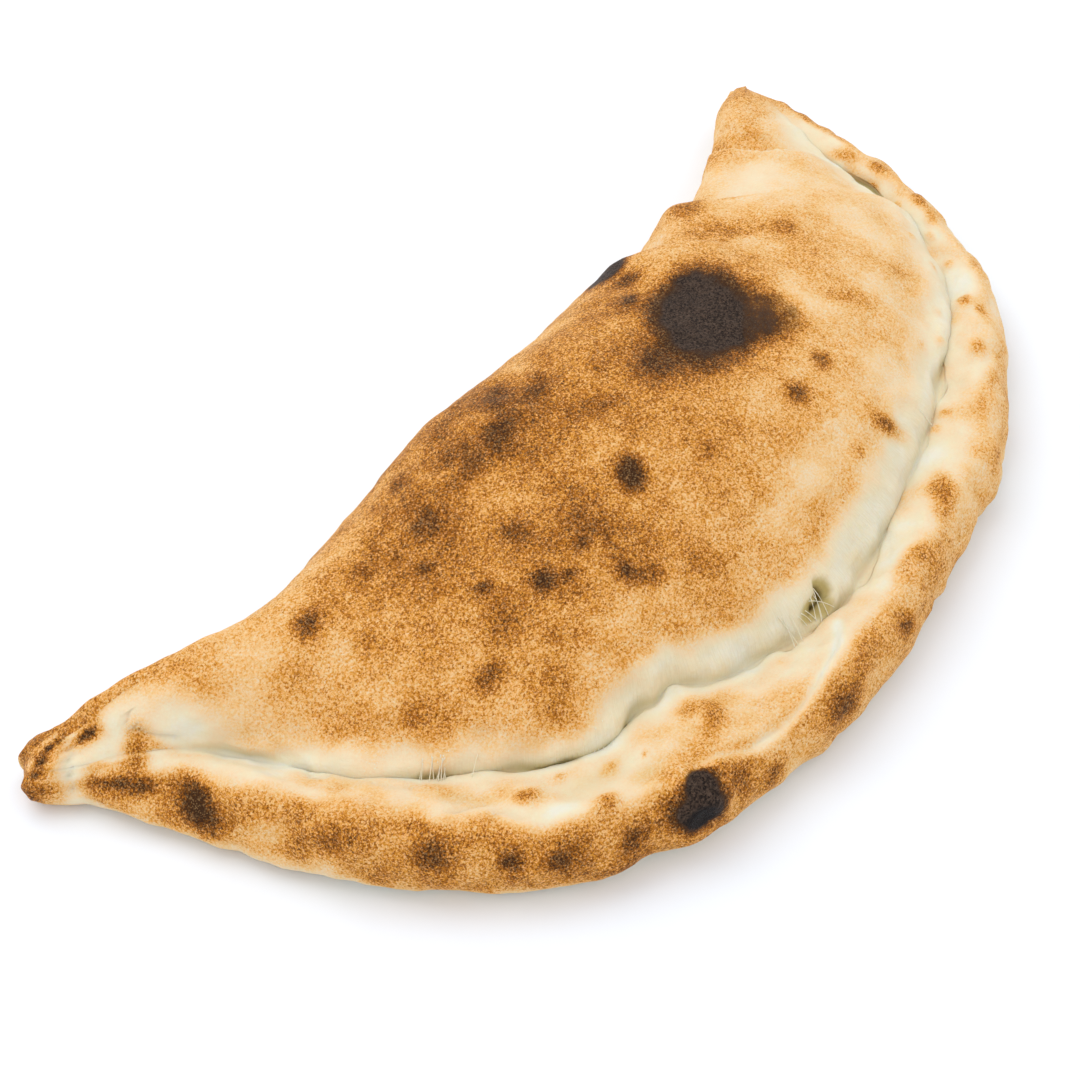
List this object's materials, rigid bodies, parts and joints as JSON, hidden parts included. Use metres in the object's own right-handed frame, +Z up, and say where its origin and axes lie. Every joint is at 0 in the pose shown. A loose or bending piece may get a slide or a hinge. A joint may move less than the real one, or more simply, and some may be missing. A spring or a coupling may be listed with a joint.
{
  "type": "calzone",
  "caption": "Baked half-moon calzone: pizza dough folded over its filling and sealed along a rolled, puffed rim, with pointed ends and a browned, blistered crust.",
  "frame": {"origin": "bottom centre of the bounding box, on the surface that the flat base stands on", "axes": "+X along the folded edge from the blunt tail to the far tip, +Y from the rolled rim towards the folded edge, +Z up"},
  "size_m": [0.3116, 0.1556, 0.0497],
  "materials": {
    "baked_crust": null
  },
  "bodies": {
    "root": {"calzone": "baked_crust"}
  },
  "joints": []
}
